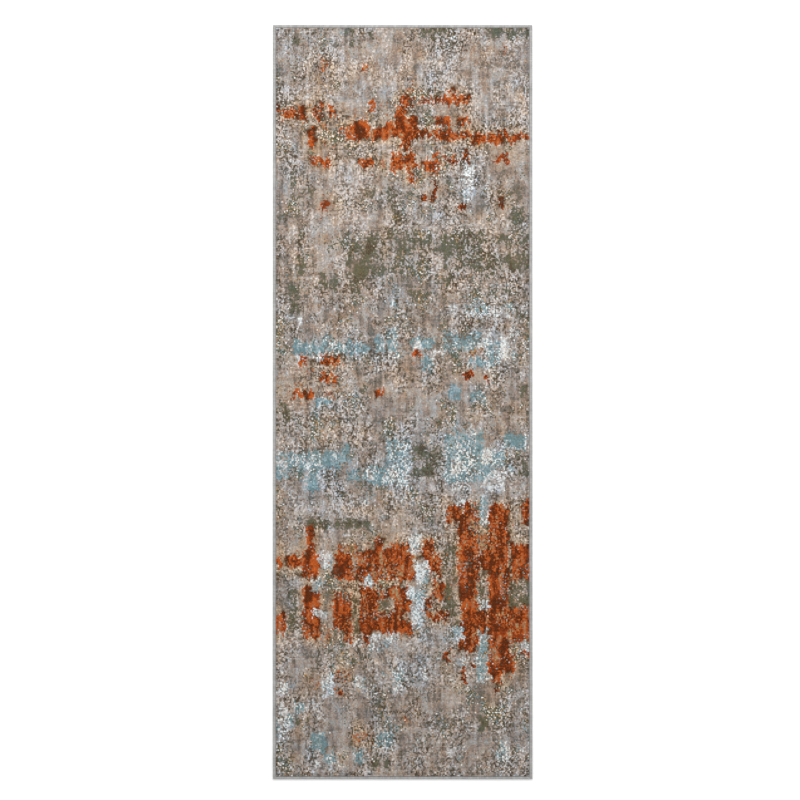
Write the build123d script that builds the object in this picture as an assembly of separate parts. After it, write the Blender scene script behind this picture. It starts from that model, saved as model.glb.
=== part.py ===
from build123d import *
import os

# Power-loomed runner rug, layered the way the loom and the finishing line layer it.
#
# Millimetres. X runs across the rug, Y along it with +Y towards the head end, and Z is up.
# The origin is the centre of the flat underside.
#
# From the floor up the ground cloth is a back coat, lower wefts, warp yarns and upper wefts.
# The cut pile stands on it in inlaid areas, one node for each yarn colour. Serging wraps
# a filler cord on all four sides and grips the rim of the ground cloth.

os.makedirs("parts", exist_ok=True)

# Overall size
RUG_WIDTH = 787.0
RUG_LENGTH = 2286.0

# Ground cloth
BACK_COAT = 0.8
WEFT_DIAMETER = 0.9
WARP_DIAMETER = 0.8
WEFT_PITCH = 6.0
WARP_PITCH = 6.0
YARN_GAP = 0.1  # between one layer of yarns and the next

# Pile
PILE_HEIGHT = 6.2  # above the ground cloth

# Serged edges
SIDE_EDGE_WIDTH = 11.0
END_EDGE_WIDTH = 9.5
CORD_DIAMETER = 5.0
WRAP_THICKNESS = 1.8
LIP_HEIGHT = 6.2  # where the serging meets the pile
CORD_FIT = 0.1  # round the filler cord
GROUND_TO_CORD = 0.4  # from the ground cloth's rim to the filler cord
GROUND_FIT = 0.1  # over the ground cloth in the serging
PILE_FIT = 0.3  # from the serging to the pile

# Pattern drawing: the size of the sheet that the pile blocks below are drawn on. The blocks
# are stretched with the pile field. A block that runs off the sheet is cut at the field's rim.
DRAWING_WIDTH = 765.0
DRAWING_LENGTH = 2267.0

# Each block is its left, right, bottom and top on the drawing, measured from its centre.
# Where blocks of two yarns meet, the yarn listed first in PILE_YARNS keeps the place.
ICE = [
    # vertical drip under the head-end crossbar
    (185, 215, 610, 720),
    # broken row above the upper pools
    (-345, -302, 255, 270), (-322, -302, 220, 255), (-40, -16, 283, 300),
    (136, 165, 265, 290), (195, 225, 264, 290), (236, 265, 262, 288), (276, 300, 264, 290),
    (306, 336, 262, 296), (356, 380, 268, 288), (210, 240, 297, 310),
    # frost over the upper pools
    (236, 274, 165, 220), (256, 276, 110, 165), (290, 340, 112, 196), (320, 336, 196, 250),
    (-325, -252, 133, 146), (-45, 11, 135, 152), (95, 152, 146, 155), (205, 226, 34, 54),
    # frost over the lower pools
    (-298, -284, -235, -166), (-372, -348, -228, -162), (150, 200, -270, -242),
    (146, 184, -206, -132), (242, 311, -266, -142), (292, 332, -216, -194),
    (156, 184, -84, -64), (205, 238, -92, -66), (-48, 22, -246, -202), (-108, -88, -242, -204),
    (-18, 18, -180, -124), (-116, -84, -312, -284), (-30, 2, -304, -288),
    # gaps left open in the lower grid
    (160, 190, -316, -298), (233, 262, -372, -272), (-252, -214, -506, -454),
    (-276, -246, -576, -542), (-116, -90, -562, -528), (40, 80, -546, -482),
    (22, 50, -462, -404), (12, 36, -602, -558), (41, 70, -622, -572), (30, 58, -692, -628),
    (-274, -232, -656, -632), (233, 259, -626, -602), (230, 256, -762, -692),
    (154, 184, -722, -682),
    # flecks towards the foot end
    (-104, -70, -752, -706), (-50, -16, -742, -704), (-150, -122, -746, -722),
    (354, 384, -756, -728), (228, 260, -852, -764), (160, 192, -802, -776),
    (-244, -206, -892, -826), (-144, -112, -872, -824), (-86, -64, -862, -812),
    (-34, 12, -852, -812), (50, 72, -846, -812), (-28, 2, -886, -860), (-374, -350, -882, -852),
    (-378, -352, -1030, -912), (136, 184, -1082, -1052), (290, 320, -1096, -1026),
    (350, 366, -1062, -1040), (-266, -246, -1112, -1062),
]
UMBER = [
    # head-end crossbar
    (-400, -370, 880, 902), (104, 120, 910, 926), (184, 200, 911, 928), (-131, -109, 804, 826),
    (106, 126, 841, 856), (174, 188, 844, 864), (190, 202, 724, 758), (206, 222, 790, 806),
    # knots under it
    (60, 73, 608, 632), (86, 106, 604, 626), (95, 104, 626, 660), (164, 190, 590, 603),
    (290, 306, 586, 618), (184, 215, 72, 92), (244, 260, 68, 86), (-240, -224, 66, 84),
    # shade on the lower grid
    (-214, -182, -536, -502), (194, 219, -602, -432), (176, 196, -362, -330),
    (276, 296, -612, -562), (272, 298, -842, -790), (330, 352, -482, -434),
    (364, 400, -486, -432), (240, 256, -752, -734), (68, 88, -446, -420), (-46, -18, -520, -488),
    (176, 192, -852, -806), (206, 220, -802, -784), (120, 141, -792, -756),
    (-196, -180, -888, -870), (280, 294, -886, -858), (-293, -276, -690, -664),
]
RUST = [
    # head-end crossbar
    (-368, -324, 860, 890), (-316, -294, 855, 896), (-275, -240, 860, 900), (-228, -207, 868, 898),
    (-150, -104, 800, 854), (-101, -84, 875, 915), (-176, 50, 800, 832), (-22, 15, 832, 900),
    (15, 46, 832, 866), (-11, 36, 898, 929), (-6, 26, 770, 800), (-51, -26, 832, 853),
    (100, 146, 838, 863), (94, 150, 796, 831), (150, 206, 800, 821), (206, 291, 784, 813),
    (291, 346, 786, 818), (346, 400, 795, 809), (124, 202, 907, 931), (126, 166, 942, 955),
    (50, 116, 907, 925), (-286, -264, 775, 836), (-196, -176, 801, 833), (164, 202, 842, 866),
    (50, 94, 802, 820), (-121, -104, 1002, 1022),
    # dashes under it
    (-280, -219, 720, 746), (-131, -94, 712, 738), (-31, 2, 705, 753), (11, 41, 708, 756),
    (2, 11, 714, 740), (18, 50, 668, 708), (61, 117, 704, 736), (84, 108, 688, 704),
    (95, 111, 742, 762), (124, 161, 722, 748), (284, 321, 726, 752), (-251, -224, 591, 611),
    # small grid under the upper pools
    (-316, -291, 110, 135), (-251, -194, 109, 136), (-251, -196, 61, 89), (-331, -269, 15, 33),
    (-86, -57, 15, 39), (29, 53, 138, 156),
    # two uprights of the lower grid
    (165, 231, -546, -306), (134, 165, -366, -319), (174, 226, -752, -546),
    (262, 321, -822, -311), (271, 301, -852, -822), (321, 342, -822, -756),
    # their arms
    (329, 400, -541, -429), (321, 400, -722, -619), (364, 400, -372, -299),
    (364, 400, -776, -757), (226, 262, -506, -449), (226, 262, -692, -627),
    # upper row of blocks beside the uprights
    (-301, -254, -531, -459), (-291, -269, -459, -378), (-351, -319, -501, -461),
    (-319, -301, -502, -478), (-390, -366, -498, -470),
    (-207, -149, -541, -459), (-138, -74, -546, -450), (-74, -56, -536, -448), (-86, -59, -450, -409),
    (-56, 36, -541, -444), (-31, 24, -444, -429), (64, 96, -461, -414), (59, 116, -526, -461),
    # lower row of blocks
    (-302, -249, -721, -559), (-211, -154, -691, -574), (-131, -76, -701, -559),
    (-76, 1, -702, -639), (-26, 24, -639, -561), (-400, -354, -701, -641), (59, 86, -631, -599),
    (94, 126, -601, -549), (70, 140, -661, -639), (1, 27, -702, -669), (-76, -26, -599, -564),
    (-176, -154, -732, -691), (-118, -102, -733, -701),
]
OCHRE = [
    (-271, -224, 999, 1040), (-240, -218, 962, 999), (2, 34, 938, 984), (14, 29, 1071, 1086),
    (304, 321, 1054, 1073), (190, 208, 1066, 1086), (-207, -194, 850, 882), (-146, -109, 860, 886), (-252, -229, 829, 851),
    (-241, -229, 752, 798), (-52, -34, 892, 908), (-68, -46, 713, 733), (150, 174, 685, 700),
    (-341, -199, 48, 55), (-331, -199, 97, 104), (-236, -199, 14, 36), (-291, -274, 69, 97),
    (-41, -24, 64, 86), (-1, 16, 63, 87), (199, 246, 147, 163), (-201, -159, -459, -434),
    (-149, -131, -541, -431), (226, 262, -449, -399), (-271, -249, -881, -829),
    (-206, -159, -881, -814), (9, 41, -981, -929), (-151, -79, -1031, -999),
    (-249, -216, -731, -696),
]
AQUA = [
    # upper pools
    (-332, -300, 144, 189), (-300, -199, 147, 183), (-241, -219, 183, 206),
    (-199, -149, 144, 181), (-149, -99, 154, 179), (-81, -59, 149, 196), (-46, -14, 154, 226),
    (24, 96, 164, 198), (61, 91, 99, 141), (124, 206, 159, 207), (206, 251, 169, 216),
    (194, 251, 109, 136), (274, 291, 114, 186), (139, 176, 9, 46), (204, 251, 4, 31),
    (-266, -214, -11, 11),
    # lower pools
    (-400, -301, -201, -154), (-301, -254, -266, -149), (-254, -189, -202, -151),
    (-189, -159, -181, -139), (-171, -109, -236, -204), (-109, 21, -251, -194),
    (-46, 21, -191, -114), (129, 246, -241, -94), (309, 376, -146, -99),
    # foot end
    (-400, -349, -232, -201), (-326, -294, -941, -914), (-356, -334, -981, -949),
    (-86, -29, -1041, -999), (-276, -234, -1061, -1009), (-241, -204, -1087, -1061),
    (-151, -119, -1096, -1059),
]
SAGE = [
    # head end
    (-96, -54, 1094, 1126), (-181, -144, 1084, 1127), (49, 146, 1104, 1131),
    (-336, -309, 1084, 1101), (249, 400, 1108, 1134), (-336, -269, 619, 651),
    (-111, -79, 619, 656), (-51, -29, 618, 652), (-50, -18, 552, 612), (334, 366, 549, 591),
    (-327, -299, 499, 566), (-321, -294, 384, 446), (-347, -314, 279, 351),
    (-341, -321, 651, 696), (-256, -196, 344, 392), (-160, -130, 322, 372), (8, 108, 318, 334),
    (256, 330, 318, 342), (342, 364, 246, 272),
    # wide band
    (-171, -106, 374, 501), (-106, -44, 386, 506), (-44, 86, 449, 521), (-1, 86, 384, 449),
    (-44, -1, 389, 446), (86, 126, 451, 502), (126, 241, 399, 516), (241, 400, 481, 503),
    (249, 311, 386, 446), (311, 400, 402, 451), (339, 366, 503, 546), (96, 156, 352, 388),
    # middle and foot end
    (354, 400, 14, 51), (-131, -109, 29, 51), (-371, -344, -61, 1), (349, 400, -221, -169),
    (-296, -104, -380, -356), (29, 121, -226, -129), (126, 161, -641, -439), (-346, -321, -691, -561),
    (-151, -131, -701, -589), (-76, -39, -626, -601), (316, 400, -619, -541),
    (226, 251, -601, -546), (-326, -289, -986, -964), (229, 261, -1001, -959),
    (-91, -39, -1116, -1079),
]
SILVER = [
    # head end
    (-224, -141, 889, 1082), (-141, -21, 944, 1090), (-21, 201, 952, 1062), (201, 400, 859, 1092),
    (41, 119, 864, 904), (-351, -251, 904, 961), (-380, -300, 1012, 1080), (-346, -329, 429, 561),
    # rest of the rug
    (-264, -62, 612, 712), (-191, -70, 524, 588), (50, 140, 524, 562), (240, 285, 650, 672),
    (-289, -191, 501, 589), (229, 309, 506, 549), (191, 246, 519, 561), (89, 119, 399, 449),
    (-262, -188, 404, 482), (-299, -256, 269, 361), (96, 116, 559, 599), (-341, -281, -351, -271),
    (-254, -96, -352, -296), (339, 376, -291, -219), (39, 111, -271, -231),
    (-261, -129, -431, -384), (-19, 151, -401, -379), (51, 119, -721, -664),
    (-400, -304, -759, -706), (11, 117, -761, -724), (71, 93, -599, -551), (-109, -51, -809, -776),
    (-61, -19, 31, 61), (141, 191, -961, -899), (-61, -8, -790, -746),
    (150, 228, -860, -802),
]

# Upper yarns first
PILE_YARNS = {
    "pile_ice": ICE,
    "pile_umber": UMBER,
    "pile_rust": RUST,
    "pile_ochre": OCHRE,
    "pile_aqua": AQUA,
    "pile_sage": SAGE,
    "pile_silver": SILVER,
}

# Heights of the layers, from the floor up
lower_weft_level = BACK_COAT + YARN_GAP + WEFT_DIAMETER / 2
warp_level = lower_weft_level + WEFT_DIAMETER / 2 + YARN_GAP + WARP_DIAMETER / 2
upper_weft_level = warp_level + WARP_DIAMETER / 2 + YARN_GAP + WEFT_DIAMETER / 2
ground_top = upper_weft_level + WEFT_DIAMETER / 2 + YARN_GAP

# Filler cord and the wrap round it
cord_radius = CORD_DIAMETER / 2
hollow_radius = cord_radius + CORD_FIT
wrap_radius = hollow_radius + WRAP_THICKNESS
cord_level = BACK_COAT + hollow_radius

# Opening between the serged edges, and the pile in it
opening_width = RUG_WIDTH - 2 * SIDE_EDGE_WIDTH
opening_length = RUG_LENGTH - 2 * END_EDGE_WIDTH
field_width = opening_width - 2 * PILE_FIT
field_length = opening_length - 2 * PILE_FIT

# Ground cloth, whose rim reaches into the serging as far as the filler cord
ground_inset = wrap_radius + cord_radius + GROUND_TO_CORD
ground_width = RUG_WIDTH - 2 * ground_inset
ground_length = RUG_LENGTH - 2 * ground_inset


def save(name, shape):
    export_step(shape, f"parts/{name}.step")


def yarn_rows(diameter, length, turn, level, places):
    """Straight parallel yarns at one height, as one group of separate solids."""
    yarn = Cylinder(diameter / 2, length, rotation=turn)
    return Compound(children=[Pos(x, y, level) * yarn for x, y in places])


def spread(span, pitch, shift=0.0):
    """Places at an even pitch, centred in a span and moved sideways by shift."""
    count = int(span / pitch)
    first = shift - (count - 1) * pitch / 2
    return [first + pitch * number for number in range(count)]


def wefts(level):
    places = [(0, y) for y in spread(ground_length - WEFT_DIAMETER, WEFT_PITCH)]
    return yarn_rows(WEFT_DIAMETER, ground_width, (0, 90, 0), level, places)


def warps(shift):
    usable = ground_width - WARP_DIAMETER - 2 * abs(shift)
    places = [(x, 0) for x in spread(usable, WARP_PITCH, shift)]
    return yarn_rows(WARP_DIAMETER, ground_length, (90, 0, 0), warp_level, places)


def drawn_blocks(blocks):
    """Pattern blocks stretched from the drawing onto the pile field, cut at its rim and joined."""
    across = field_width / DRAWING_WIDTH
    along = field_length / DRAWING_LENGTH
    rectangles = []
    for left, right, bottom, top in blocks:
        low_x = max(left * across, -field_width / 2)
        high_x = min(right * across, field_width / 2)
        low_y = max(bottom * along, -field_length / 2)
        high_y = min(top * along, field_length / 2)
        block = Rectangle(high_x - low_x, high_y - low_y)
        rectangles.append(Pos((low_x + high_x) / 2, (low_y + high_y) / 2) * block)
    return Sketch() + rectangles


def pile(area):
    return extrude(Pos(0, 0, ground_top) * area, amount=PILE_HEIGHT)


def mitred(length, width, height):
    """A bar's room along one side: its outer face on the X axis, its ends cut at 45 degrees."""
    outline = Polyline(
        (-length / 2, 0),
        (length / 2, 0),
        (length / 2 - width, width),
        (-length / 2 + width, width),
        close=True,
    )
    return extrude(make_face(outline), amount=height)


def serging(length, width):
    """Yarn wrapped round the filler cord, with a lip over and under the ground cloth's rim."""
    cord_place = Pos(wrap_radius, cord_level)
    lip = Pos(width, LIP_HEIGHT / 2) * Rectangle(YARN_GAP, LIP_HEIGHT)
    wrap = make_hull((cord_place * Circle(wrap_radius)).edges() + lip.edges())
    top = cord_level + wrap_radius
    above_floor = Pos(width / 2, top / 2) * Rectangle(width, top)
    slot_top = ground_top + GROUND_FIT
    reach = width - wrap_radius
    slot = Pos(width - reach / 2, (BACK_COAT + slot_top) / 2) * Rectangle(reach, slot_top - BACK_COAT)
    section = (wrap & above_floor) - (cord_place * Circle(hollow_radius) + slot)
    bar = extrude(Plane.YZ * section, amount=length / 2, both=True)
    return bar & mitred(length, width, top)


def edge_cord(length, width):
    bar = Pos(0, wrap_radius, cord_level) * Cylinder(cord_radius, length, rotation=(0, 90, 0))
    return bar & mitred(length, width, cord_level + wrap_radius)


# Ground cloth
save("back_coat", Pos(0, 0, BACK_COAT / 2) * Box(opening_width, opening_length, BACK_COAT))
save("lower_wefts", wefts(lower_weft_level))
save("stuffer_warps", warps(-WARP_PITCH / 4))
save("buried_pile_yarns", warps(WARP_PITCH / 4))
save("upper_wefts", wefts(upper_weft_level))

# Pile, one node for each yarn colour; the greige ground yarn fills what the others leave
inlaid_area = Sketch()
for pile_name, blocks in PILE_YARNS.items():
    yarn_area = drawn_blocks(blocks)
    save(pile_name, pile(yarn_area - inlaid_area))
    inlaid_area = inlaid_area + yarn_area
save("pile_greige", pile(Rectangle(field_width, field_length) - inlaid_area))

# Serged edges: each is made along the foot end and turned to its own side
EDGES = {
    "foot": (0, -RUG_LENGTH / 2, 0, RUG_WIDTH, END_EDGE_WIDTH),
    "right": (RUG_WIDTH / 2, 0, 90, RUG_LENGTH, SIDE_EDGE_WIDTH),
    "head": (0, RUG_LENGTH / 2, 180, RUG_WIDTH, END_EDGE_WIDTH),
    "left": (-RUG_WIDTH / 2, 0, 270, RUG_LENGTH, SIDE_EDGE_WIDTH),
}
for side, (x, y, turn, length, width) in EDGES.items():
    place = Pos(x, y) * Rot(0, 0, turn)
    save(f"edge_cord_{side}", place * edge_cord(length, width))
    save(f"serging_{side}", place * serging(length, width))
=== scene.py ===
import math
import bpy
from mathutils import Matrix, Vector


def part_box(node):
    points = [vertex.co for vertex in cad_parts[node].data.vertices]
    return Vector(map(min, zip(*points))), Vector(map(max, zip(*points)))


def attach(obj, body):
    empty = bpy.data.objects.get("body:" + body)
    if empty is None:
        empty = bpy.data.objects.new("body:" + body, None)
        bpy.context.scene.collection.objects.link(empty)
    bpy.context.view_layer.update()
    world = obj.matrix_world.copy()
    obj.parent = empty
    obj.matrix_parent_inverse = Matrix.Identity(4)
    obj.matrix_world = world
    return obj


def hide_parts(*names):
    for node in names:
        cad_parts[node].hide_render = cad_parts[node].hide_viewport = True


bl_info = {
    "name": "Runner Rug",
    "version": (1, 0, 0),
    "blender": (4, 5, 0),
    "location": "View3D > Sidebar > Runner Rug",
    "description": "Tufts, serging and backing for a power-loomed runner rug",
    "category": "Object",
}

import bmesh
import bpy
import numpy as np
from bpy.props import FloatProperty, FloatVectorProperty, IntProperty, PointerProperty
from mathutils import Matrix, Vector
from mathutils.bvhtree import BVHTree

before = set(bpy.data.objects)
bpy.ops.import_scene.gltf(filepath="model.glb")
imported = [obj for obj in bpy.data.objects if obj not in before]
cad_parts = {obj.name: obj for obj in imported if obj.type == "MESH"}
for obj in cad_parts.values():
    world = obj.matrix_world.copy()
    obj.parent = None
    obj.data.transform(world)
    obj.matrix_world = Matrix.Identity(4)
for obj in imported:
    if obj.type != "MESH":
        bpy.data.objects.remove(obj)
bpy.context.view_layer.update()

# The rug lies flat: X across it, Y along it towards the head end, Z up. All sizes are in metres.
RUG_BODY = "root"
MM = 0.001

# Serged edges: each side's number of quarter turns from the foot end
SIDES = {"foot": 0, "right": 1, "head": 2, "left": 3}
CORD_LEVEL = 3.4 * MM
LIP_LEVEL = 6.2 * MM
FAN_LENGTH = 30 * MM
OUTLINE_POINTS = 9
BENEATH = (0.4, 0.7)  # where the yarn lies flat under the rug, in shares of the edge's width
RINGS_PER_WRAP = 2
WRAP_SPREAD = 0.07  # how much one wrap's width differs from the next
CREST_DIP = (0.35, 0.3)  # how unevenly the wraps ride, and the share of the ridge that it takes
MAP_ROWS = 24
MAP_MARGIN = 0.04
WELD_GAP = 0.01 * MM
SERGING_SEED = 11

# Back coat
BACK_COLUMNS = 12
ROWS_PER_RIB = 2
COAT_UNEVENNESS = 0.04 * MM
BACK_SEED = 13

# Stage
FLOOR_HALF = 30.0
FLOOR_GAP = 0.2 * MM
FLOOR_SQUARES = 4
SOFT_BOX_PLACE = (0.0, 1.4, 2.6)
SOFT_BOX_SIZE = (3.0, 2.0)
CAMERA_PLACE = (-7.9 * MM, 6.1 * MM, 3.0)
CAMERA_REACH = 100

# Tufts, in shares of the pitch where no unit is given
TIP_WIDTH = (0.86, 1.08)
ROOT_WIDTH = 1.04
TUFT_TURN = 0.40  # radians
CORNER_SPLAY = 0.07
CORNER_DROP = 0.18 * MM
TIP_LEAN = 0.28 * MM
NAP = -0.25 * MM  # the way that every tip lies, towards the foot end
RIM_REACH = 2.2
RIM_LEAN = 1.1 * MM
RIM_FALL = 0.8 * MM
MAP_TIP = 0.56  # the tip's share of the map's width, and its sides' share
MAP_SIDES = 0.96

# The pile areas that the loom was set for, one node for each main yarn
PILE_AREAS = (
    "pile_greige", "pile_silver", "pile_sage", "pile_aqua",
    "pile_ice", "pile_rust", "pile_umber", "pile_ochre",
)

POOLS = ("pile_aqua", "pile_ice")
GRIDS = ("pile_rust", "pile_umber", "pile_ochre")

# Every shade of yarn, the area that it stands for, and the slot that it takes
YARNS = {
    "bark": ("pile_greige", "greige_pile"),
    "stone": ("pile_greige", "greige_pile"),
    "taupe": ("pile_greige", "greige_pile"),
    "beige": ("pile_greige", "greige_pile"),
    "dove": ("pile_greige", "greige_pile"),
    "silver": ("pile_silver", "silver_pile"),
    "pearl": ("pile_silver", "silver_pile"),
    "sage": ("pile_sage", "sage_pile"),
    "aqua": ("pile_aqua", "aqua_pile"),
    "mist": ("pile_aqua", "aqua_pile"),
    "ice": ("pile_ice", "ice_pile"),
    "rust": ("pile_rust", "rust_pile"),
    "brick": ("pile_rust", "rust_pile"),
    "umber": ("pile_umber", "umber_pile"),
    "clay": ("pile_ochre", "ochre_pile"),
    "ochre": ("pile_ochre", "ochre_pile"),
}

# How far a yarn's dye can turn, as a share of its red, green and blue
WARM_DYE = (1.25, 0.96, 0.64)
COOL_DYE = (0.77, 1.03, 1.31)

# How dye and shade change over the rug. Reaches are in tufts, along the rug and then across it.
DYE_GRAIN = 0.16
DYE_CLOUDS = ((0.12, 3.0, 2.0), (0.10, 12.0, 8.0))
GRID_REACH = 5.0
POOL_REACH = 4.0
POOL_SHARE = 0.35  # how far the pools cool the ground, against how far the grids warm it
INLAY_DYE_SHARE = 0.5
POOL_COOLING = 0.12
DRIFT_LAYERS = ((0.28, 8.0, 0.6), (0.20, 0.6, 5.0), (0.08, 20.0, 11.0))
COMB_STRAY = 3.5
WANDER_STRAY = 2.5

# What each area is woven from, in parts of a hundred. The first list runs from dark to light
# and follows the drift of light and shade. The second is flecks of other yarns.
BLENDS = {
    "pile_greige": (
        {"bark": 6, "stone": 13, "taupe": 18, "beige": 18, "dove": 16, "silver": 14, "pearl": 7},
        {"sage": 5, "aqua": 1, "ochre": 1, "ice": 1},
    ),
    "pile_silver": (
        {"stone": 9, "taupe": 16, "beige": 18, "dove": 18, "silver": 24, "pearl": 14},
        {"sage": 1},
    ),
    "pile_sage": (
        {"bark": 8, "sage": 42, "stone": 16, "taupe": 12, "beige": 7, "dove": 8, "silver": 7},
        {"ochre": 1, "pearl": 1},
    ),
    "pile_aqua": (
        {"stone": 7, "aqua": 42, "mist": 28, "dove": 4, "pearl": 7, "ice": 8},
        {"taupe": 3, "sage": 1},
    ),
    "pile_ice": (
        {"stone": 6, "taupe": 4, "beige": 4, "dove": 12, "silver": 12, "pearl": 16, "ice": 24},
        {"aqua": 9, "mist": 13},
    ),
    "pile_rust": (
        {"umber": 22, "brick": 29, "rust": 29, "clay": 9, "ochre": 3},
        {"bark": 2, "sage": 1, "beige": 3, "silver": 1},
    ),
    "pile_umber": (
        {"umber": 50, "brick": 24, "rust": 10, "clay": 6},
        {"bark": 8, "stone": 2},
    ),
    "pile_ochre": (
        {"bark": 9, "stone": 6, "taupe": 18, "beige": 18, "dove": 5, "silver": 10},
        {"clay": 15, "ochre": 10, "rust": 4, "brick": 3, "umber": 2},
    ),
}


def dye(name, description, colour):
    """A yarn colour that a user can change."""
    return FloatVectorProperty(
        name=name, description=description, default=colour, subtype="COLOR", size=3, min=0, max=1
    )


class RunnerYarns(bpy.types.PropertyGroup):
    """Dyed colours of the pile yarns"""

    bark: dye("Bark", "Deepest brown of the ground yarns", (0.104, 0.078, 0.050))
    stone: dye("Stone", "Brownish grey of the ground yarns", (0.185, 0.163, 0.135))
    taupe: dye("Taupe", "Middle brown grey of the ground yarns", (0.290, 0.237, 0.203))
    beige: dye("Beige", "Pinkish beige of the ground yarns", (0.402, 0.317, 0.267))
    dove: dye("Dove", "Light warm grey of the ground yarns", (0.400, 0.374, 0.345))
    silver: dye("Silver", "Light grey of the panels", (0.478, 0.434, 0.410))
    pearl: dye("Pearl", "Palest warm grey of the panels", (0.640, 0.605, 0.595))
    sage: dye("Sage", "Olive grey of the band", (0.136, 0.136, 0.088))
    aqua: dye("Aqua", "Dusty blue green of the pools", (0.190, 0.285, 0.298))
    mist: dye("Mist", "Pale blue green of the pools", (0.320, 0.425, 0.450))
    ice: dye("Ice", "Icy white of the frost", (0.815, 0.820, 0.865))
    rust: dye("Rust", "Burnt orange of the grids", (0.515, 0.108, 0.016))
    brick: dye("Brick", "Deep orange brown of the grids", (0.270, 0.046, 0.006))
    umber: dye("Umber", "Darkest brown of the grids", (0.122, 0.025, 0.002))
    clay: dye("Clay", "Faded orange at the grids' rims", (0.420, 0.175, 0.080))
    ochre: dye("Ochre", "Pale ochre accents", (0.460, 0.310, 0.160))


class RunnerPile(bpy.types.PropertyGroup):
    """How the pile is tufted and how far its pattern is worn"""

    pitch: FloatProperty(
        name="Tuft pitch", description="Distance from one tuft to the next",
        default=3.8 * MM, min=2 * MM, max=10 * MM, subtype="DISTANCE", unit="LENGTH",
    )
    unevenness: FloatProperty(
        name="Unevenness", description="How much the tufts differ in height",
        default=0.7 * MM, min=0, max=2 * MM, subtype="DISTANCE", unit="LENGTH",
    )
    comb: FloatProperty(
        name="Comb", description="How far the pattern's edges are drawn out along the rug",
        default=4.5 * MM, min=0, max=60 * MM, subtype="DISTANCE", unit="LENGTH",
    )
    wander: FloatProperty(
        name="Wander", description="How far the pattern's edges stray across the rug",
        default=3 * MM, min=0, max=60 * MM, subtype="DISTANCE", unit="LENGTH",
    )
    stray: FloatProperty(
        name="Stray tufts", description="Share of tufts that take a neighbouring area's yarn",
        default=0.12, min=0, max=1, subtype="FACTOR",
    )
    halo: FloatProperty(
        name="Halo", description="How much the rust warms the dye of the yarns beside it",
        default=0.75, min=0, max=1, subtype="FACTOR",
    )
    seed: IntProperty(
        name="Seed", description="Number that the pile's irregularities start from",
        default=7, min=0,
    )


class RunnerSerging(bpy.types.PropertyGroup):
    """Yarn wrapped round the rug's four edges"""

    yarn: dye("Serging yarn", "Colour of the wrapped yarn", (0.390, 0.385, 0.378))
    pitch: FloatProperty(
        name="Wrap pitch", description="Distance from one wrap to the next",
        default=2.55 * MM, min=1 * MM, max=8 * MM, subtype="DISTANCE", unit="LENGTH",
    )
    ridge: FloatProperty(
        name="Ridge", description="Depth of the groove between two wraps",
        default=0.4 * MM, min=0, max=1 * MM, subtype="DISTANCE", unit="LENGTH",
    )
    slant: FloatProperty(
        name="Slant", description="How far a wrap runs along the edge as it crosses it",
        default=1.2 * MM, min=0, max=5 * MM, subtype="DISTANCE", unit="LENGTH",
    )


class RunnerBacking(bpy.types.PropertyGroup):
    """Latex coat on the underside"""

    latex: dye("Latex", "Colour of the back coat", (0.52, 0.45, 0.34))
    jute: dye("Jute", "Colour of the wefts", (0.42, 0.30, 0.17))
    cotton: dye("Cotton", "Colour of the warps and the filler cord", (0.60, 0.55, 0.46))
    rib_pitch: FloatProperty(
        name="Rib pitch", description="Distance between the weave's ribs under the coat",
        default=3 * MM, min=1 * MM, max=10 * MM, subtype="DISTANCE", unit="LENGTH",
    )
    rib_depth: FloatProperty(
        name="Rib depth", description="Depth of the grooves between the ribs",
        default=0.25 * MM, min=0, max=0.5 * MM, subtype="DISTANCE", unit="LENGTH",
    )


class RunnerStage(bpy.types.PropertyGroup):
    """Floor, light and camera"""

    floor: dye("Floor", "Colour of the plain floor", (0.97, 0.97, 0.97))
    sky: FloatProperty(
        name="Room light", description="Strength of the even light all round", default=0.85, min=0,
    )
    key: FloatProperty(
        name="Soft box", description="Power of the soft box over the head end",
        default=60.0, min=0, subtype="POWER", unit="POWER",
    )
    width: FloatProperty(
        name="View width", description="Width that the camera takes in",
        default=2.425, min=0.1, subtype="DISTANCE", unit="LENGTH",
    )


# ---------------------------------------------------------------- shared helpers


def link_new(name, mesh):
    made = bpy.data.objects.new(name, mesh)
    bpy.context.scene.collection.objects.link(made)
    return made


def mesh_from(bm, name):
    mesh = bpy.data.meshes.new(name)
    bm.to_mesh(mesh)
    bm.free()
    return mesh


def settle_order(bm):
    """Lists edges and faces by their corners, because an extrusion adds them in no fixed order."""
    bm.verts.index_update()
    total = len(bm.verts)

    def listing(part):
        corners = [vertex.index for vertex in part.verts]
        return min(corners) * total + max(corners)

    bm.edges.sort(key=listing)
    bm.faces.sort(key=listing)


def coordinates_of(mesh):
    found = np.empty(len(mesh.vertices) * 3, np.float32)
    mesh.vertices.foreach_get("co", found)
    return found.reshape(-1, 3)


def place_vertices(mesh, coordinates):
    mesh.vertices.foreach_set("co", coordinates.astype(np.float32).ravel())
    mesh.update()


def smooth_shade(mesh):
    mesh.polygons.foreach_set("use_smooth", np.ones(len(mesh.polygons), bool))


def box_of(nodes):
    """Lowest and highest corner of several CAD nodes."""
    corners = [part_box(node) for node in nodes]
    low = Vector([min(c[0][axis] for c in corners) for axis in range(3)])
    high = Vector([max(c[1][axis] for c in corners) for axis in range(3)])
    return low, high


def node(tree, kind, inputs=(), **settings):
    """Adds a shader node, sets it up, and links or fills its inputs."""
    made = tree.nodes.new(kind)
    for name, value in settings.items():
        setattr(made, name, value)
    for socket, value in dict(inputs).items():
        if isinstance(value, bpy.types.NodeSocket):
            tree.links.new(value, made.inputs[socket])
        else:
            made.inputs[socket].default_value = value
    return made


def maths(tree, operation, first, second):
    made = node(tree, "ShaderNodeMath", {0: first, 1: second}, operation=operation)
    return made.outputs[0]


def product(tree, first, second, third):
    return maths(tree, "MULTIPLY", maths(tree, "MULTIPLY", first, second), third)


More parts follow.
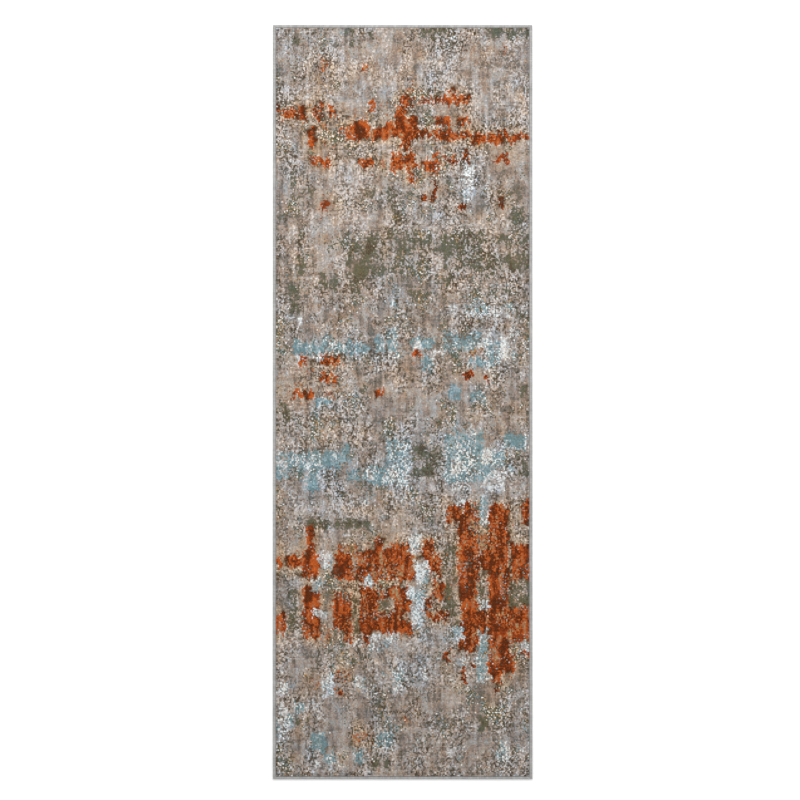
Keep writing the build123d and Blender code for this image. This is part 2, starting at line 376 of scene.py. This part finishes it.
def ranged(tree, value, low, high, to_low, to_high):
    """Maps a value from one range to another and stops at its ends."""
    sockets = {
        "Value": value, "From Min": low, "From Max": high, "To Min": to_low, "To Max": to_high,
    }
    return node(tree, "ShaderNodeMapRange", sockets).outputs["Result"]


def noise(tree, place, scale, detail, roughness=0.5):
    sockets = {"Vector": place, "Scale": scale, "Detail": detail, "Roughness": roughness}
    return node(tree, "ShaderNodeTexNoise", sockets).outputs["Fac"]


def stretched(tree, place, scale):
    return node(tree, "ShaderNodeMapping", {"Vector": place, "Scale": scale}).outputs["Vector"]


def object_place(tree):
    return node(tree, "ShaderNodeTexCoord").outputs["Object"]


def tinted(tree, colour, brightness):
    """A colour made lighter or darker by a value."""
    made = node(tree, "ShaderNodeVectorMath", {0: colour, "Scale": brightness}, operation="SCALE")
    return made.outputs[0]


def mixed(tree, factor, first, second):
    sockets = {"Factor": factor, 6: first, 7: second}
    return node(tree, "ShaderNodeMix", sockets, data_type="RGBA").outputs[2]


def new_finish(name):
    """A new material, with its node tree and its shader."""
    material = bpy.data.materials.new(name)
    material.use_nodes = True
    tree = material.node_tree
    return material, tree, tree.nodes["Principled BSDF"]


def bumped(tree, shader, height, distance, strength):
    sockets = {"Height": height, "Distance": distance, "Strength": strength}
    bump = node(tree, "ShaderNodeBump", sockets)
    tree.links.new(bump.outputs["Normal"], shader.inputs["Normal"])


def opaque(colour):
    return (*colour, 1.0)


# ---------------------------------------------------------------- pile


def pile_finish(name, colour, root_level, tip_level):
    """Heathered cut yarn, speckled with fibre ends at the tip, with painted shade that darkens it
    towards the root.
    """
    material, tree, shader = new_finish(name)
    place = object_place(tree)
    height = node(tree, "ShaderNodeSeparateXYZ", {0: place}).outputs["Z"]
    # Painted shade between the tufts: the yarn darkens from the tip down to the root
    depth = ranged(tree, height, root_level, tip_level, 0.45, 1.0)
    tone = node(tree, "ShaderNodeAttribute", attribute_name="tone").outputs["Fac"]
    tuft_tone = ranged(tree, tone, 0.0, 1.0, 0.82, 1.18)
    fibres = noise(tree, stretched(tree, place, (2200, 2200, 300)), 1.0, 2.0, 0.6)
    fibre_tone = ranged(tree, fibres, 0.3, 0.7, 0.78, 1.18)
    brightness = product(tree, depth, tuft_tone, fibre_tone)
    heather = noise(tree, stretched(tree, place, (500, 500, 80)), 1.0, 1.0)
    warmth = node(tree, "ShaderNodeAttribute", attribute_name="warmth").outputs["Fac"]
    turned = maths(tree, "ADD", ranged(tree, heather, 0.35, 0.65, -0.25, 0.25), warmth)
    warmer = tuple(min(1.0, c * w) for c, w in zip(colour, WARM_DYE))
    cooler = tuple(min(1.0, c * w) for c, w in zip(colour, COOL_DYE))
    blend = mixed(tree, ranged(tree, turned, -1.0, 1.0, 0.0, 1.0), opaque(cooler), opaque(warmer))
    tree.links.new(tinted(tree, blend, brightness), shader.inputs["Base Color"])
    tree.links.new(ranged(tree, fibres, 0.3, 0.7, 0.95, 0.7), shader.inputs["Roughness"])
    shader.inputs["Sheen Weight"].default_value = 0.05
    shader.inputs["Sheen Roughness"].default_value = 0.5
    shader.inputs["Specular IOR Level"].default_value = 0.15
    bumped(tree, shader, fibres, 0.4 * MM, 0.9)
    return material


def area_grid(low, high, columns, rows):
    """Which pile area lies at each tuft's place, as numbers into PILE_AREAS, row by row."""
    corners = []
    faces = []
    owners = []
    for number, area in enumerate(PILE_AREAS):
        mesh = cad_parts[area].data
        base = len(corners)
        corners.extend(vertex.co.copy() for vertex in mesh.vertices)
        for polygon in mesh.polygons:
            if polygon.normal.z > 0.5:
                faces.append([base + vertex for vertex in polygon.vertices])
                owners.append(number)
    tree = BVHTree.FromPolygons(corners, faces)
    down = Vector((0, 0, -1))
    grid = np.zeros((rows, columns), int)
    for row in range(rows):
        y = low.y + (row + 0.5) * (high.y - low.y) / rows
        for column in range(columns):
            x = low.x + (column + 0.5) * (high.x - low.x) / columns
            face = tree.ray_cast(Vector((x, y, high.z + MM)), down)[2]
            if face is None:
                face = tree.find_nearest(Vector((x, y, high.z)))[2]
            grid[row, column] = owners[face]
    return grid


def softened(field, along, across):
    """A field blurred over a few tufts each way."""
    by_row = np.fft.fftfreq(field.shape[0])[:, None] * along
    by_column = np.fft.fftfreq(field.shape[1])[None, :] * across
    blur = np.exp(-2 * (math.pi**2) * (by_row**2 + by_column**2))
    return np.fft.ifft2(np.fft.fft2(field) * blur).real


def soft_noise(draw, shape, along, across):
    """Seeded noise of zero mean and unit spread that changes over a few tufts each way."""
    field = softened(draw.standard_normal(shape), along, across)
    return (field - field.mean()) / field.std()


def within(areas, names):
    """Which tufts stand in some areas."""
    return np.isin(areas, [PILE_AREAS.index(name) for name in names])


def nearness(areas, names, reach):
    """How near each tuft is to some areas: 0 far away, and towards 1 well inside them."""
    return np.tanh(2.5 * softened(within(areas, names).astype(float), reach, reach))


def turned_dye(areas, pile, draw):
    """How warm or cool each tuft's dye has turned: warm beside the rust, cool beside the pools."""
    shape = areas.shape
    warmth = DYE_GRAIN * draw.standard_normal(shape)
    for weight, along, across in DYE_CLOUDS:
        warmth += weight * soft_noise(draw, shape, along, across)
    beside_grids = nearness(areas, GRIDS, GRID_REACH)
    beside_pools = nearness(areas, POOLS, POOL_REACH)
    halo = pile.halo * (beside_grids - POOL_SHARE * beside_pools)
    inlay_turn = INLAY_DYE_SHARE * warmth - POOL_COOLING * within(areas, POOLS)
    return np.where(within(areas, POOLS + GRIDS), inlay_turn, warmth + halo)


def worn_areas(grid, pile, draw):
    """The area grid with combed edges and stray tufts."""
    shape = grid.shape
    comb = soft_noise(draw, shape, 5.0, 0.7) * pile.comb / pile.pitch
    comb += soft_noise(draw, shape, 1.5, 0.5) * 0.5 * pile.comb / pile.pitch
    wander = soft_noise(draw, shape, 0.7, 2.5) * pile.wander / pile.pitch
    strays = draw.random(shape) < pile.stray
    comb += strays * draw.normal(0, COMB_STRAY, shape)
    wander += strays * draw.normal(0, WANDER_STRAY, shape)
    rows, columns = np.indices(shape)
    rows = np.clip(np.rint(rows + comb), 0, shape[0] - 1).astype(int)
    columns = np.clip(np.rint(columns + wander), 0, shape[1] - 1).astype(int)
    return grid[rows, columns]


def share_out(values, shares):
    """Splits places by rank, lowest first, in the given shares."""
    order = np.empty(len(values), int)
    order[values.argsort(kind="stable")] = np.arange(len(values))
    limits = np.cumsum(shares) / np.sum(shares)
    return np.searchsorted(limits[:-1], (order + 0.5) / len(values))


def spun_yarns(areas, draw):
    """The yarn of each tuft, as numbers into YARNS: a drift of light and shade, then flecks."""
    shape = areas.shape
    inlay = nearness(areas, PILE_AREAS[2:], 12.0)
    busy = np.clip(0.65 + 0.45 * inlay + 0.50 * soft_noise(draw, shape, 6.0, 4.0), 0.2, 2.0)
    drift = busy * soft_noise(draw, shape, 0.35, 0.25)
    drift += 0.50 * np.tanh(2.0 * soft_noise(draw, shape, 2.8, 1.6))
    for weight, along, across in DRIFT_LAYERS:
        drift += weight * soft_noise(draw, shape, along, across)
    drift += 1.10 * nearness(areas, ("pile_rust",), 1.0) * soft_noise(draw, shape, 3.5, 1.2)
    drift += 0.60 * nearness(areas, ("pile_sage",), 1.0) * soft_noise(draw, shape, 3.5, 1.8)
    fleck = draw.standard_normal(shape) + soft_noise(draw, shape, 5.0, 3.5)
    names = list(YARNS)
    yarns = np.zeros(shape, int)
    for number, area in enumerate(PILE_AREAS):
        here = areas == number
        main, flecks = BLENDS[area]
        chosen = np.array([names.index(name) for name in main])
        picked = chosen[share_out(drift[here], list(main.values()))]
        fleck_share = sum(flecks.values())
        fleck_rank = share_out(fleck[here], [sum(main.values()), fleck_share])
        others = np.array([names.index(name) for name in flecks])
        odds = np.array(list(flecks.values())) / fleck_share
        other = draw.choice(others, size=len(picked), p=odds)
        yarns[here] = np.where(fleck_rank == 1, other, picked)
    return yarns


def tuft_template():
    """One tuft: a closed square bundle, one unit wide and one unit high."""
    bm = bmesh.new()
    bmesh.ops.create_cone(
        bm, cap_ends=True, segments=4, radius1=math.sqrt(0.5), radius2=math.sqrt(0.5), depth=1.0
    )
    square = Matrix.Rotation(math.pi / 4, 3, "Z")
    bmesh.ops.rotate(bm, cent=(0, 0, 0), matrix=square, verts=bm.verts)
    bmesh.ops.translate(bm, vec=(0, 0, 0.5), verts=bm.verts)
    # The map: the tip in the middle, the sides round it, and the root in a strip beside them
    layer = bm.loops.layers.uv.new("OFBake")
    for face in bm.faces:
        is_root = face.normal.z < -0.5
        for loop in face.loops:
            x, y, z = loop.vert.co
            reach = MAP_TIP if z > 0.5 else MAP_SIDES
            u = 0.42 + 0.84 * reach * x
            v = 0.5 + reach * y
            if is_root:
                u = 0.92 + 0.08 * x
            loop[layer].uv = (u, v)
    return mesh_from(bm, "tuft")


def copies_of(template, count, name):
    """One mesh that holds a small mesh many times over, copy after copy."""
    holder = link_new(name, template)
    array = holder.modifiers.new("Copies", "ARRAY")
    array.fit_type = "FIXED_COUNT"
    array.count = count
    array.use_relative_offset = False
    array.use_constant_offset = True
    array.constant_offset_displace = (0, 0, MM)
    bpy.context.view_layer.update()
    evaluated = holder.evaluated_get(bpy.context.evaluated_depsgraph_get())
    mesh = bpy.data.meshes.new_from_object(evaluated)
    mesh.name = name
    bpy.data.objects.remove(holder)
    return mesh


def spread_maps(mesh, count):
    """Gives every copy its own cell of the bake map."""
    layer = mesh.uv_layers["OFBake"].uv
    places = np.empty(len(layer) * 2, np.float32)
    layer.foreach_get("vector", places)
    places = places.reshape(count, -1, 2)
    side = math.ceil(math.sqrt(count))
    number = np.arange(count)
    cells = np.stack([number % side, number // side], 1)[:, None, :]
    layer.foreach_set("vector", ((places + cells) / side).astype(np.float32).ravel())


def tufts(name, template, centres, warmth, low, high, pile, draw):
    """All the tufts of one yarn, standing in the pile."""
    count = len(centres)
    mesh = copies_of(template, count, name)
    spread_maps(mesh, count)
    local = coordinates_of(template)
    is_tip = local[:, 2] > 0.5
    turn = draw.normal(0, TUFT_TURN, count)[:, None]
    cosine, sine = np.cos(turn), np.sin(turn)
    tip_width = draw.uniform(*TIP_WIDTH, (count, 1))
    width = pile.pitch * np.where(is_tip, tip_width, ROOT_WIDTH)
    splay = draw.normal(0, CORNER_SPLAY, (2, count, len(local))) * is_tip
    x = width * (cosine * local[:, 0] - sine * local[:, 1] + splay[0])
    y = width * (sine * local[:, 0] + cosine * local[:, 1] + splay[1])
    # Tips lean a little anyhow, and outwards over the serging along the rim
    lean = draw.normal(0, TIP_LEAN, (count, 2)) + np.array([0, NAP])
    half = np.array([high.x, high.y])
    to_rim = half - np.abs(centres)
    at_rim = np.clip(1 - to_rim / (RIM_REACH * pile.pitch), 0, 1)
    lean += np.sign(centres) * at_rim * RIM_LEAN
    fall = at_rim.max(1) * RIM_FALL
    tall = high.z - low.z - draw.uniform(0, 1, count) * pile.unevenness - fall
    corner_drop = np.where(is_tip, draw.uniform(-CORNER_DROP, 0.0, (count, len(local))), 0)
    placed = np.empty((count, len(local), 3))
    placed[:, :, 0] = centres[:, :1] + x + lean[:, :1] * is_tip
    placed[:, :, 1] = centres[:, 1:] + y + lean[:, 1:] * is_tip
    placed[:, :, 2] = low.z + local[:, 2] * tall[:, None] + corner_drop
    place_vertices(mesh, placed)
    for label, values in (("tone", draw.random(count)), ("warmth", warmth)):
        layer = mesh.attributes.new(label, "FLOAT", "POINT")
        layer.data.foreach_set("value", np.repeat(values, len(local)).astype(np.float32))
    smooth_shade(mesh)
    return mesh


class RUNNER_OT_pile(bpy.types.Operator):
    """Stands the cut pile, tuft by tuft, one piece for each shade of yarn"""

    bl_idname = "runner.pile"
    bl_label = "Cut Pile"

    def execute(self, context):
        pile = context.scene.runner_pile
        dyes = context.scene.runner_yarns
        low, high = box_of(PILE_AREAS)
        columns = round((high.x - low.x) / pile.pitch)
        rows = round((high.y - low.y) / pile.pitch)
        draw = np.random.default_rng(pile.seed)
        areas = worn_areas(area_grid(low, high, columns, rows), pile, draw)
        yarns = spun_yarns(areas, draw)
        warmth = turned_dye(areas, pile, draw)
        across = low.x + (np.arange(columns) + 0.5) * (high.x - low.x) / columns
        along = low.y + (np.arange(rows) + 0.5) * (high.y - low.y) / rows
        centres = np.stack(np.meshgrid(across, along), -1)
        template = tuft_template()
        for number, (yarn, (area, slot)) in enumerate(YARNS.items()):
            here = yarns == number
            mesh = tufts(
                f"{yarn}_tufts", template, centres[here], warmth[here], low, high, pile, draw
            )
            colour = tuple(getattr(dyes, yarn))
            mesh.materials.append(pile_finish(f"{yarn} yarn", colour, low.z, high.z))
            piece = link_new(f"{yarn}_tufts", mesh)
            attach(piece, RUG_BODY)
            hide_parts(area)
        return {"FINISHED"}


# ---------------------------------------------------------------- serged edges


def serging_finish(name, colour):
    """Slightly glossy twisted yarn, whose plies run along each wrap, with painted shade in the
    grooves between the wraps.
    """
    material, tree, shader = new_finish(name)
    place = node(tree, "ShaderNodeUVMap", uv_map="Wraps").outputs["UV"]
    strands = noise(tree, stretched(tree, place, (60, 1.5, 1)), 1.0, 2.0, 0.6)
    tone = node(tree, "ShaderNodeAttribute", attribute_name="tone").outputs["Fac"]
    groove = node(tree, "ShaderNodeAttribute", attribute_name="groove").outputs["Fac"]
    wrap_tone = ranged(tree, tone, 0.0, 1.0, 0.86, 1.12)
    strand_tone = ranged(tree, strands, 0.3, 0.7, 0.85, 1.12)
    # Painted shade: darker in the grooves between the wraps, a little lighter on their crests
    groove_shade = ranged(tree, groove, 0.0, 1.0, 1.05, 0.6)
    brightness = product(tree, wrap_tone, strand_tone, groove_shade)
    tree.links.new(tinted(tree, colour, brightness), shader.inputs["Base Color"])
    tree.links.new(ranged(tree, strands, 0.3, 0.7, 0.7, 0.5), shader.inputs["Roughness"])
    shader.inputs["Sheen Weight"].default_value = 0.1
    bumped(tree, shader, strands, 0.2 * MM, 0.8)
    return material


def serging_outline(width, height):
    """Across a serged edge: from the foot of its pile side, up the lip, over the cord and beneath.
    Each place is its distance in from the rug's outer edge and its height."""
    radius = height - CORD_LEVEL
    middle = np.array([radius, CORD_LEVEL])
    lip = np.array([width, LIP_LEVEL])
    reach = lip - middle
    start = math.atan2(reach[1], reach[0]) + math.acos(radius / math.hypot(*reach))
    end = math.pi + math.asin(CORD_LEVEL / radius)
    turns = np.linspace(start, end, OUTLINE_POINTS)
    arc = middle + radius * np.stack([np.cos(turns), np.sin(turns)], 1)
    beneath = np.array([[share * width, 0] for share in BENEATH])
    return np.vstack([[width, 0], lip, arc, beneath])


def serging_strip(name, length, width, mitre, height, serging, draw):
    """A serged edge along X, with its outer face at y = 0 and the rug on its +Y side."""
    outline = serging_outline(width, height)
    around = len(outline)
    wraps = round(length / serging.pitch)
    rings = wraps * RINGS_PER_WRAP
    bm = bmesh.new()
    bm.loops.layers.uv.new("Wraps")
    bmesh.ops.create_grid(bm, x_segments=rings, y_segments=around, size=0.5, calc_uvs=True)
    mesh = mesh_from(bm, name)
    flat = coordinates_of(mesh)
    ring = np.rint((flat[:, 0] + 0.5) * rings).astype(int)
    spot = np.rint((flat[:, 1] + 0.5) * around).astype(int) % around
    # Wraps differ a little in width and in how high they ride
    steps = 1 + draw.normal(0, WRAP_SPREAD, wraps + 1)
    ends = np.concatenate([[0], np.cumsum(steps[:wraps])]) / steps[:wraps].sum()
    starts = np.interp(np.arange(rings + 1) / RINGS_PER_WRAP, np.arange(wraps + 1), ends)
    groove = (np.arange(rings + 1) % RINGS_PER_WRAP == 0).astype(float)
    rise = draw.uniform(0.0, CREST_DIP[0], rings + 1)
    sink = serging.ridge * np.where(groove > 0, 1.0, CREST_DIP[1] * rise)[ring]
    middle = np.array([outline[:, 0].mean(), CORD_LEVEL])
    outward = outline - middle
    outward /= np.linalg.norm(outward, axis=1)[:, None]
    section = outline[spot] - outward[spot] * sink[:, None]
    section[:, 1] = np.maximum(section[:, 1], 0)
    # The wraps fan out over the last stretch, so that the strip ends on the corner's diagonal
    half = length / 2
    run = (starts[ring] - 0.5) * length
    over = (outline[spot, 1] > CORD_LEVEL) * 2.0 - 1.0
    run_slant = serging.slant * over * (section[:, 0] / width - 0.5)
    straight = np.clip((half - np.abs(run)) / FAN_LENGTH, 0, 1)
    pulled = np.sign(run) * (1 - straight) * section[:, 0] * mitre / width
    placed = np.stack([run + run_slant * straight - pulled, section[:, 0], section[:, 1]], 1)
    place_vertices(mesh, placed)
    tone = np.repeat(draw.random(wraps + 1), RINGS_PER_WRAP)[ring]
    for label, values in (("tone", tone), ("groove", groove[ring])):
        layer = mesh.attributes.new(label, "FLOAT", "POINT")
        layer.data.foreach_set("value", values.astype(np.float32))
    fold_map(mesh, rings)
    return closed_strip(mesh, name)


def fold_map(mesh, rings):
    """A bake map that lays the long strip in rows, one under the other."""
    wraps_map = mesh.uv_layers["Wraps"].uv
    places = np.empty(len(wraps_map) * 2, np.float32)
    wraps_map.foreach_get("vector", places)
    places = places.reshape(-1, 4, 2)
    per_row = math.ceil(rings / MAP_ROWS)
    cell = np.floor(places[:, :, 0].mean(1) * rings).astype(int)
    row = cell // per_row
    u = (places[:, :, 0] * rings - (row * per_row)[:, None]) / per_row
    v = (row[:, None] + MAP_MARGIN + (1 - 2 * MAP_MARGIN) * places[:, :, 1]) / MAP_ROWS
    layer = mesh.uv_layers.new(name="OFBake")
    layer.uv.foreach_set("vector", np.stack([u, v], -1).astype(np.float32).ravel())


def closed_strip(mesh, name):
    """The rolled strip with its seam joined and its two ends filled."""
    bm = bmesh.new()
    bm.from_mesh(mesh)
    bmesh.ops.remove_doubles(bm, verts=bm.verts, dist=WELD_GAP)
    rims = [edge for edge in bm.edges if edge.is_boundary]
    bmesh.ops.holes_fill(bm, edges=rims, sides=0)
    bmesh.ops.recalc_face_normals(bm, faces=bm.faces)
    bpy.data.meshes.remove(mesh)
    closed = mesh_from(bm, name)
    smooth_shade(closed)
    return closed


class RUNNER_OT_serging(bpy.types.Operator):
    """Wraps serging yarn round the filler cord on all four edges"""

    bl_idname = "runner.serging"
    bl_label = "Serged Edges"

    def execute(self, context):
        serging = context.scene.runner_serging
        low, high = box_of([f"serging_{side}" for side in SIDES])
        finish = serging_finish("serging yarn", tuple(serging.yarn))
        draw = np.random.default_rng(SERGING_SEED)
        side_width = high.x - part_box("serging_right")[0].x
        end_width = high.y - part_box("serging_head")[0].y
        for side, quarters in SIDES.items():
            is_end = quarters % 2 == 0
            length = high.x - low.x if is_end else high.y - low.y
            width = end_width if is_end else side_width
            mitre = side_width if is_end else end_width
            mesh = serging_strip(f"{side}_serging", length, width, mitre, high.z, serging, draw)
            across = high.y if is_end else high.x
            turn = Matrix.Rotation(quarters * math.pi / 2, 4, "Z")
            mesh.transform(turn @ Matrix.Translation((0, -across, 0)))
            mesh.materials.append(finish)
            piece = link_new(f"{side}_serging", mesh)
            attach(piece, RUG_BODY)
            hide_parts(f"serging_{side}")
        return {"FINISHED"}


# ---------------------------------------------------------------- ground cloth


def latex_finish(name, colour):
    """Thin matte latex, with painted shade in the grooves between the ribs, and small flecks of
    jute.
    """
    material, tree, shader = new_finish(name)
    place = object_place(tree)
    ribs = node(tree, "ShaderNodeAttribute", attribute_name="rib").outputs["Fac"]
    blotches = noise(tree, place, 25.0, 3.0)
    hairs = noise(tree, stretched(tree, place, (160, 1400, 160)), 1.0, 3.0, 0.65)
    # Painted shade: darker in the grooves between the ribs, a little lighter on their crests
    rib_shade = ranged(tree, ribs, 0.0, 1.0, 0.8, 1.04)
    blotch_tone = ranged(tree, blotches, 0.3, 0.7, 0.92, 1.06)
    hair_tone = ranged(tree, hairs, 0.3, 0.7, 0.86, 1.1)
    brightness = product(tree, rib_shade, blotch_tone, hair_tone)
    tree.links.new(tinted(tree, colour, brightness), shader.inputs["Base Color"])
    tree.links.new(ranged(tree, blotches, 0.3, 0.7, 0.8, 0.62), shader.inputs["Roughness"])
    bumped(tree, shader, hairs, 0.2 * MM, 0.7)
    return material


def spun_finish(name, colour, along, hairiness):
    """Plain spun yarn, with fibres that lie along it. along is its axis: 0 for X, 1 for Y."""
    material, tree, shader = new_finish(name)
    place = object_place(tree)
    scale = [1800, 1800, 1800]
    scale[along] = 160
    fibres = noise(tree, stretched(tree, place, scale), 1.0, 3.0, 0.6)
    slubs = noise(tree, place, 30.0, 2.0)
    fibre_tone = ranged(tree, fibres, 0.3, 0.7, 1.0 - hairiness, 1.0 + hairiness)
    slub_tone = ranged(tree, slubs, 0.3, 0.7, 0.9, 1.1)
    brightness = maths(tree, "MULTIPLY", fibre_tone, slub_tone)
    tree.links.new(tinted(tree, colour, brightness), shader.inputs["Base Color"])
    tree.links.new(ranged(tree, fibres, 0.3, 0.7, 0.95, 0.75), shader.inputs["Roughness"])
    bumped(tree, shader, fibres, 0.2 * MM, 0.8)
    return material


class RUNNER_OT_back(bpy.types.Operator):
    """Lays the latex back coat, ribbed by the weave under it"""

    bl_idname = "runner.back"
    bl_label = "Back Coat"

    def execute(self, context):
        backing = context.scene.runner_backing
        low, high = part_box("back_coat")
        width = high.x - low.x
        length = high.y - low.y
        ribs = round(length / backing.rib_pitch)
        rows = ribs * ROWS_PER_RIB
        bm = bmesh.new()
        bmesh.ops.create_grid(bm, x_segments=BACK_COLUMNS, y_segments=rows, size=0.5)
        bmesh.ops.scale(bm, vec=(width, length, 1), verts=bm.verts)
        made = bmesh.ops.extrude_face_region(bm, geom=bm.faces[:])
        upper = [part for part in made["geom"] if isinstance(part, bmesh.types.BMVert)]
        bmesh.ops.translate(bm, vec=(0, 0, high.z - low.z), verts=upper)
        bmesh.ops.recalc_face_normals(bm, faces=bm.faces)
        settle_order(bm)
        mesh = mesh_from(bm, "latex_back")
        placed = coordinates_of(mesh)
        row = np.rint((placed[:, 1] / length + 0.5) * rows).astype(int)
        crest = (row % ROWS_PER_RIB > 0).astype(float)
        draw = np.random.default_rng(BACK_SEED)
        depth = backing.rib_depth * (1 - crest) + draw.uniform(0, COAT_UNEVENNESS, len(placed))
        beneath = placed[:, 2] < (low.z + high.z) / 2
        placed[:, 2] += np.where(beneath, depth, 0)
        place_vertices(mesh, placed)
        layer = mesh.attributes.new("rib", "FLOAT", "POINT")
        layer.data.foreach_set("value", crest.astype(np.float32))
        smooth_shade(mesh)
        mesh.materials.append(latex_finish("latex coat", tuple(backing.latex)))
        piece = link_new("latex_back", mesh)
        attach(piece, RUG_BODY)
        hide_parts("back_coat")
        return {"FINISHED"}


class RUNNER_OT_ground(bpy.types.Operator):
    """Gives the wefts, the warps, the buried yarns and the filler cords their finishes"""

    bl_idname = "runner.ground"
    bl_label = "Ground Cloth"

    def execute(self, context):
        backing = context.scene.runner_backing
        dyes = context.scene.runner_yarns
        jute = spun_finish("jute weft", tuple(backing.jute), 0, 0.22)
        cotton = spun_finish("cotton warp", tuple(backing.cotton), 1, 0.10)
        buried = spun_finish("buried pile yarn", tuple(dyes.taupe), 1, 0.16)
        filler = spun_finish("filler cord along the side", tuple(backing.cotton), 1, 0.12)
        end_filler = spun_finish("filler cord along the end", tuple(backing.cotton), 0, 0.12)
        finishes = {
            "lower_wefts": jute, "upper_wefts": jute, "stuffer_warps": cotton,
            "buried_pile_yarns": buried, "edge_cord_left": filler, "edge_cord_right": filler,
            "edge_cord_foot": end_filler, "edge_cord_head": end_filler,
        }
        for name, finish in finishes.items():
            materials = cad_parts[name].data.materials
            materials.clear()
            materials.append(finish)
        return {"FINISHED"}


# ---------------------------------------------------------------- stage


def floor_finish(colour):
    """Plain pale paper, with a faint unevenness in its gloss."""
    material, tree, shader = new_finish("studio floor")
    grain = noise(tree, object_place(tree), 8.0, 3.0)
    shader.inputs["Base Color"].default_value = opaque(colour)
    tree.links.new(ranged(tree, grain, 0.3, 0.7, 0.85, 0.95), shader.inputs["Roughness"])
    shader.inputs["Specular IOR Level"].default_value = 0.2
    return material


class RUNNER_OT_stage(bpy.types.Operator):
    """Sets the pale floor, the soft light and the camera straight above"""

    bl_idname = "runner.stage"
    bl_label = "Stage"

    def execute(self, context):
        stage = context.scene.runner_stage
        bm = bmesh.new()
        bmesh.ops.create_grid(
            bm, x_segments=FLOOR_SQUARES, y_segments=FLOOR_SQUARES, size=FLOOR_HALF
        )
        bmesh.ops.translate(bm, vec=(0, 0, -FLOOR_GAP), verts=bm.verts)
        floor = link_new("floor", mesh_from(bm, "floor"))
        floor.data.materials.append(floor_finish(tuple(stage.floor)))

        world = bpy.data.worlds.new("soft room light")
        world.use_nodes = True
        light = world.node_tree.nodes["Background"]
        light.inputs["Color"].default_value = (1, 1, 1, 1)
        light.inputs["Strength"].default_value = stage.sky
        context.scene.world = world

        lamp = bpy.data.lights.new("soft box", "AREA")
        lamp.shape = "RECTANGLE"
        lamp.size, lamp.size_y = SOFT_BOX_SIZE
        lamp.energy = stage.key
        soft_box = link_new("soft_box", lamp)
        soft_box.location = SOFT_BOX_PLACE
        soft_box.rotation_euler = (-Vector(SOFT_BOX_PLACE)).to_track_quat("-Z", "Y").to_euler()

        lens = bpy.data.cameras.new("overhead camera")
        lens.type = "ORTHO"
        lens.ortho_scale = stage.width
        lens.clip_end = CAMERA_REACH
        camera = link_new("overhead_camera", lens)
        camera.location = CAMERA_PLACE
        context.scene.camera = camera
        context.scene.view_settings.view_transform = "Standard"
        return {"FINISHED"}


# ---------------------------------------------------------------- panel and run


STEPS = (
    RUNNER_OT_pile,
    RUNNER_OT_serging,
    RUNNER_OT_ground,
    RUNNER_OT_back,
    RUNNER_OT_stage,
)
SETTINGS = {
    "runner_yarns": RunnerYarns,
    "runner_pile": RunnerPile,
    "runner_serging": RunnerSerging,
    "runner_backing": RunnerBacking,
    "runner_stage": RunnerStage,
}


class RUNNER_PT_rug(bpy.types.Panel):
    """Settings and steps of the runner rug"""

    bl_label = "Runner Rug"
    bl_idname = "RUNNER_PT_rug"
    bl_space_type = "VIEW_3D"
    bl_region_type = "UI"
    bl_category = "Runner Rug"

    def draw(self, context):
        for name in SETTINGS:
            settings = getattr(context.scene, name)
            box = self.layout.box()
            box.label(text=type(settings).__doc__)
            for setting in settings.__annotations__:
                box.prop(settings, setting)
        for step in STEPS:
            self.layout.operator(step.bl_idname)


def register():
    for name, settings in SETTINGS.items():
        bpy.utils.register_class(settings)
        setattr(bpy.types.Scene, name, PointerProperty(type=settings))
    for step in STEPS:
        bpy.utils.register_class(step)
    bpy.utils.register_class(RUNNER_PT_rug)


def unregister():
    bpy.utils.unregister_class(RUNNER_PT_rug)
    for step in reversed(STEPS):
        bpy.utils.unregister_class(step)
    for name, settings in reversed(SETTINGS.items()):
        delattr(bpy.types.Scene, name)
        bpy.utils.unregister_class(settings)


def main():
    register()
    bpy.ops.runner.pile()
    bpy.ops.runner.serging()
    bpy.ops.runner.ground()
    bpy.ops.runner.back()
    bpy.ops.runner.stage()
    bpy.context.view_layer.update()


if __name__ == "__main__":
    main()
